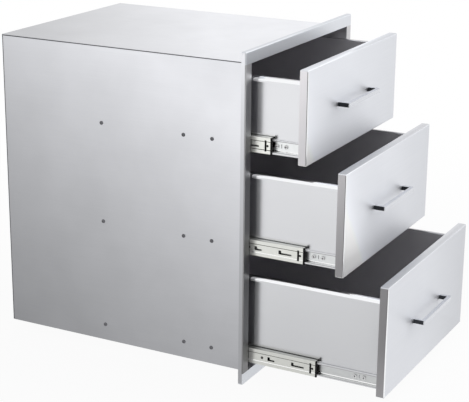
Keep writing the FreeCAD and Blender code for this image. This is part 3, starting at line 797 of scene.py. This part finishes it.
# %% Openings of the middle section
# Each opening in millimetres: its ends from the section's end, its foot and head from the
# middle line, and the radius of its corners.
cuts = ((6.7, 10.2, -9, 9, 0.5), (3.1, 6.9, -1.9, 1.9, 1.8), (20, 43, -3.3, -0.5, 1.2),
        (38.5, 43, -3.3, 3.3, 1.0), (73, 86, -3.3, -0.5, 1.2), (81.5, 86, -3.3, 3.3, 1.0),
        (93.6, 98.4, -2.4, 2.4, 2.3))
for near, far, foot, head, rounding in cuts:
    for start, end in ((sample_low.y + near * MM, sample_low.y + far * MM),
                       (sample_high.y - far * MM, sample_high.y - near * MM)):
        cut_out(rail, (web - 3 * MM, start, row + foot * MM),
                (web + 2 * MM, end, row + head * MM), rounding * MM)
print(len(rail.data.polygons), "faces with the openings")

# %% [markdown]
# ## Plugs and creases
# The photograph shows the round hole as black, so a thin plug closes it from behind, coloured
# with painted shade. The creases of the web take a second finish, painted shade, except in the
# lower crease of the middle and bottom slides, which carries a painted highlight. The finished
# section is copied to all six slides.

# %% Six middle sections
plug_spots = (sample_low.y + 96 * MM, sample_high.y - 96 * MM)
plug_reach = 2.3 * MM
plug = drum("plug", (web + 0.7 * MM, 0, row), 2.38 * MM, 0.4 * MM)
plugs = [twin(plug, f"plug_{i}", (0, spot, 0)) for i, spot in enumerate(plug_spots)]
rail = join_up([rail] + plugs, "middle_section")
bpy.data.objects.remove(plug)


def on_plug(face):
    """True if the face is on a plug or in the round hole that it closes."""
    aside = min(abs(face.center.y - spot) for spot in plug_spots)
    return (aside < plug_reach and abs(face.center.z - row) < plug_reach
            and face.center.x < web + MM)


def in_crease(tilt, height):
    """True for a face's upward tilt and its height from the middle line in a crease of the web."""
    return 0.2 < tilt < 0.8 and 6 * MM < height < 8 * MM


print(second_finish(rail, on_plug), "plug faces")
print(second_finish(rail, lambda f: in_crease(abs(f.normal.z), abs(f.center.z - row))),
      "crease faces")
for level in LEVELS:
    for side in ("left", "right"):
        node = f"{level}_{side}_telescope_rail"
        here = mid_height(node)
        shift = (0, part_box(node)[0].y - sample_low.y, here - row)
        piece = twin(rail, f"{level}_{side}_middle_section", shift, flip=side == "right")
        settle(piece, f"{level}_telescope_rails", "zinc_rail", [node], zinc, painted_slide_shade, smooth_highlight_zinc)
        if level != "top":
            second_finish(piece, lambda f: in_crease(f.normal.z, here - f.center.z), 2)
bpy.data.objects.remove(rail)

# %% [markdown]
# ## Drawer sections
# The inner channel of each slide is screwed to the drawer, with its open side towards the box.
# It is made the same way, with wide round bends at its web and a ball groove in each flange. Its
# screws pass through the web. Painted shade darkens its slot, the faces that look up are
# smoother and carry a painted highlight, and the flanges' cut edges are bare steel.

# %% Drawer sections of the slides
sample_low, sample_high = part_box("top_left_drawer_rail")
row = mid_height("top_left_drawer_rail")
half_sheet = 0.5 * MM
web = sample_high.x - half_sheet
tall = (sample_high.z - sample_low.z) / 2 - half_sheet
groove, half_groove = wall_x + 7.7 * MM, 1.2 * MM
upper = [(web, tall), (groove + half_groove, tall), (groove, tall - 0.28 * MM),
         (groove - half_groove, tall), (sample_low.x, tall)]
lower = [(x, -z) for x, z in reversed(upper)]
section = [(x, z + row) for x, z in lower + upper]
rail = draw_strip("inner_section", section, sample_low.y, sample_high.y)
round_edges(2.8 * MM, 5, lambda e: along(e, Y) and abs(middle(e).x - web) < TINY)
thicken(rail, 2 * half_sheet)
slot_y = sample_low.y + 32.5 * MM
cut_out(rail, (web - 2 * MM, slot_y - 0.8 * MM, row - 3.5 * MM),
        (web + 2 * MM, slot_y + 0.8 * MM, row + 3.5 * MM), 0.7 * MM)
print(second_finish(rail, lambda f: abs(f.center.y - slot_y) < MM and abs(f.normal.x) < 0.1
                    and abs(f.center.z - row) < 4 * MM), "faces in the slot")
print(second_finish(rail, lambda f: f.normal.z > 0.2, 2), "faces that look up")
print(second_finish(rail, lambda f: f.normal.x < -0.9 and f.center.x < sample_low.x + TINY, 3),
      "cut edges")
for level in LEVELS:
    for side in ("left", "right"):
        node = f"{level}_{side}_drawer_rail"
        shift = (0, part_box(node)[0].y - sample_low.y, mid_height(node) - row)
        piece = twin(rail, f"{level}_{side}_inner_section", shift, flip=side == "right")
        settle(piece, f"{level}_drawer", "zinc_rail", [node], drawer_zinc, painted_slide_shade, smooth_highlight_zinc,
               cage_steel)
bpy.data.objects.remove(rail)

# %% [markdown]
# ## Slide bumpers
# A black nylon piece closes the front end of each middle section and softens the stop. It has
# the shape of an E round the drawer section's two edges, and a tongue runs back behind the
# web, where it shows through the first hole and slot.

# %% Bumpers
low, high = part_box("top_rail_bumpers")
steel_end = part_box("top_left_telescope_rail")[0].y
row = mid_height("top_rail_bumpers")
arm, half_core = 3 * MM, 8.2 * MM
spine, arm_reach = 1.6 * MM, 1.3 * MM
bumper = add_block("bumper", low, (low.x + spine, steel_end, high.z))
divide(Z, low.z + arm, row - half_core, row + half_core, high.z - arm)
pick("FACE", lambda f: f.normal.x > 0.9
     and not half_core < abs(middle(f).z - row) < (high.z - low.z) / 2 - arm)
pull((arm_reach, 0, 0))
round_edges(0.4 * MM, 2, lambda e: middle(e).y < low.y + TINY and e.is_manifold
            and e.calc_face_angle(0) > 1)
tongue = add_block("tongue", (low.x + 1.25 * MM, steel_end - MM, row - 10 * MM),
                   (low.x + 2.2 * MM, high.y, row + 10 * MM))
round_edges(1.5 * MM, 3, lambda e: along(e, X) and middle(e).y > high.y - TINY)
bumper = join_up([bumper, tongue], "bumper")
for level in LEVELS:
    node = f"{level}_rail_bumpers"
    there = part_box(node)[0]
    shift = (0, there.y - low.y, there.z - low.z)
    ends = [twin(bumper, "one_end", shift), twin(bumper, "other_end", shift, flip=True)]
    settle(join_up(ends, f"{level}_bumpers"), f"{level}_telescope_rails", "rail_plastic",
           [node], nylon)
bpy.data.objects.remove(bumper)

# %% [markdown]
# ## Screws in the drawer sections
# Four pan-head screws with a cross recess hold each drawer section. The head is a rounded
# cylinder, and a cross of two bars is cut into it. The recess is coloured dark, painted shade.

# %% Rail screws
screw_places = (25, 40.5, 190, 415)  # millimetres behind the section's front end
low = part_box("top_rail_screws")[0]
head_height, recess_depth, recess_reach = 2.0 * MM, 1.1 * MM, 1.85 * MM
screw = drum("screw", (low.x + head_height, 0, 0), 3.4 * MM, head_height)
round_edges(0.9 * MM, 3, lambda e: middle(e).x < low.x + TINY)
for width, length in ((0.9 * MM, 3.6 * MM), (3.6 * MM, 0.9 * MM)):
    cut_out(screw, (low.x - MM, -width / 2, -length / 2),
            (low.x + recess_depth, width / 2, length / 2))
for level in LEVELS:
    front_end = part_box(f"{level}_left_drawer_rail")[0].y
    height = mid_height(f"{level}_left_drawer_rail")
    spots = [(0, front_end + y * MM, height) for y in screw_places]
    heads = [twin(screw, "head", spot, flip) for spot in spots for flip in (False, True)]
    screws = settle(join_up(heads, f"{level}_screws"), f"{level}_drawer", "fastener_steel",
                    [f"{level}_rail_screws"], screw_steel, painted_dark)
    second_finish(screws, lambda f: abs(f.center.x) < -low.x - 0.3 * MM
                  and abs(f.center.z - height) < recess_reach
                  and min(abs(f.center.y - spot[1]) for spot in spots) < recess_reach)
bpy.data.objects.remove(screw)

# %% [markdown]
# ## The CAD pieces that stay
# The outer slide sections, the ball cages, the drawer backs, the panels behind the fronts and
# the handle screws have the right shape already. They keep their CAD meshes and only get a
# finish.

# %% Finishes for the CAD pieces
finishes = {"cabinet_rail": zinc, "ball_cages": cage_steel, "drawer_back": inside_coat,
            "front_backing": inside_coat, "handle_screws": screw_steel}
for name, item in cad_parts.items():
    for ending, material in finishes.items():
        if name.endswith(ending):
            item.data.materials.clear()
            item.data.materials.append(material)
print(sum(not item.hide_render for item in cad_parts.values()), "CAD nodes shown")

# %% [markdown]
# ## Floor, world and lamp
# A product photograph of this kind stands on a white sweep. The floor is pale and takes the
# unit's faint shadow; away from the unit it fades to plain white for the camera. Metal mirrors
# it as white too, except a wedge off the box's left front corner that is dark in mirrors only, a
# painted reflection: it shows in the folds, in the handles' legs and in the frame.
# The world gives an even soft light, and one large softbox from the front right models the
# edges.

# %% Floor
bpy.ops.object.select_all(action="DESELECT")
bpy.ops.mesh.primitive_plane_add(size=60, location=(0, 0, cad_low.z - 0.2 * MM))
floor = bpy.context.object
floor.name = "studio_floor"
bpy.ops.object.transform_apply(location=True, rotation=True, scale=True)
floor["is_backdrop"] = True
material, tree, place = empty_material("white_studio_floor")
light_path = add(tree, "ShaderNodeLightPath")
mirror = light_path.outputs["Is Glossy Ray"]

# How white the floor is: nearly so at the unit for the camera, wholly so from 1.6 m on and in
# mirrors.
straight = add(tree, "ShaderNodeMath", {0: light_path.outputs["Is Camera Ray"],
                                        1: light_path.outputs["Is Transmission Ray"]},
               operation="MAXIMUM")
distance = add(tree, "ShaderNodeVectorMath", {0: place}, operation="LENGTH")
far = add(tree, "ShaderNodeMapRange", {"Value": distance.outputs["Value"], "From Min": 0.45,
                                       "From Max": 1.6, "To Min": 0.93, "To Max": 1.0},
          interpolation_type="SMOOTHSTEP")
share = add(tree, "ShaderNodeMath", {0: straight.outputs[0], 1: far.outputs[0]},
            operation="MULTIPLY")
share = add(tree, "ShaderNodeMath", {0: share.outputs[0], 1: mirror}, operation="MAXIMUM")

# The painted reflection: a wedge of floor, dark to mirrors only, that opens to the front left
# from a point beside the unit.
wedge_point, wedge_way = (-0.36, -0.38, 0), (-0.885, -0.465, 0)
aside = add(tree, "ShaderNodeVectorMath", {0: place, 1: wedge_point}, operation="SUBTRACT")
aside = add(tree, "ShaderNodeVectorMath", {0: aside.outputs[0]}, operation="NORMALIZE")
aside = add(tree, "ShaderNodeVectorMath", {0: aside.outputs[0], 1: wedge_way},
            operation="DOT_PRODUCT")
dark = add(tree, "ShaderNodeMapRange", {"Value": aside.outputs["Value"], "From Min": 0.82,
                                        "From Max": 0.92, "To Min": 1.0, "To Max": 0.05})
glow = add(tree, "ShaderNodeMix", {"Factor": mirror, "A": 1.0, "B": dark.outputs[0]})

# The floor itself: matt off-white paper with a faint mottle of 25 mm.
paper = add(tree, "ShaderNodeTexNoise", {"Vector": place, "Scale": 40.0, "Detail": 2.0})
tint = add(tree, "ShaderNodeMix", {"Factor": paper.outputs["Fac"], "A": colour("#f6f6f7"),
                                   "B": colour("#f2f2f4")}, data_type="RGBA")
matt = add(tree, "ShaderNodeBsdfDiffuse", {"Color": tint.outputs["Result"]})
white = add(tree, "ShaderNodeEmission", {"Color": (1, 1, 1, 1),
                                         "Strength": glow.outputs["Result"]})
both = add(tree, "ShaderNodeMixShader", {0: share.outputs[0], 1: matt.outputs[0],
                                         2: white.outputs[0]})
add(tree, "ShaderNodeOutputMaterial", {"Surface": both.outputs[0]})
floor.data.materials.append(material)
print("floor at", round(cad_low.z / MM, 1), "mm")

# %% World and softbox
world = bpy.data.worlds.new("studio")
bpy.context.scene.world = world
world.use_nodes = True
tree = world.node_tree
tree.nodes.clear()
light_path = add(tree, "ShaderNodeLightPath")
seen = add(tree, "ShaderNodeMath", {0: light_path.outputs["Is Camera Ray"],
                                    1: light_path.outputs["Is Glossy Ray"]},
           operation="MAXIMUM")
seen = add(tree, "ShaderNodeMath", {0: seen.outputs[0],
                                    1: light_path.outputs["Is Transmission Ray"]},
           operation="MAXIMUM")
strength = add(tree, "ShaderNodeMapRange", {"Value": seen.outputs[0], "To Min": 0.6,
                                            "To Max": 1.0})
sky = add(tree, "ShaderNodeBackground", {"Color": (1, 1, 1, 1),
                                         "Strength": strength.outputs[0]})
add(tree, "ShaderNodeOutputWorld", {"Surface": sky.outputs[0]})

lamp_place, lamp_target = Vector((1.6, -2.2, 2.4)), Vector((0, -0.1, 0.25))
bpy.ops.object.light_add(type="AREA", location=lamp_place)
lamp = bpy.context.object
lamp.name = "key_softbox"
lamp.data.size = 2.6
lamp.data.energy = 30
lamp.rotation_mode = "QUATERNION"
lamp.rotation_quaternion = (lamp_target - lamp_place).to_track_quat("-Z", "Y")
print("world and one softbox")

# %% [markdown]
# ## Camera
# The camera's place and turn come from matching the photograph's corners and rivets to the
# model: it looks at the unit from its front left, from above, through a long lens.

# %% Camera
right = Vector((0.46700, -0.88422, 0.00885))
up = Vector((0.26023, 0.14699, 0.95429))
ahead = Vector((0.84510, 0.44335, -0.29875))
bpy.ops.object.camera_add(location=(-2.06934, -1.19853, 0.95732))
camera = bpy.context.object
camera.name = "photo_camera"
camera.rotation_mode = "QUATERNION"
camera.rotation_quaternion = Matrix((right, up, -ahead)).transposed().to_quaternion()
camera.data.sensor_width = 36
camera.data.lens = 106.70
camera.data.clip_start, camera.data.clip_end = 0.05, 200
bpy.context.scene.camera = camera
bpy.context.scene.view_settings.view_transform = "Standard"
print("camera", round(camera.location.length, 2), "m from the origin")

# %% [markdown]
# ## Sizes
# Both boxes, the CAD model's and the dressed unit's, are measured and printed, so that they can
# be compared. The dressed unit has to stay as large as the CAD model.

# %% Sizes and finish
low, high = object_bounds()
print("CAD box", [round(v / MM, 1) for v in cad_high - cad_low])
print("scene box", [round(v / MM, 1) for v in high - low])
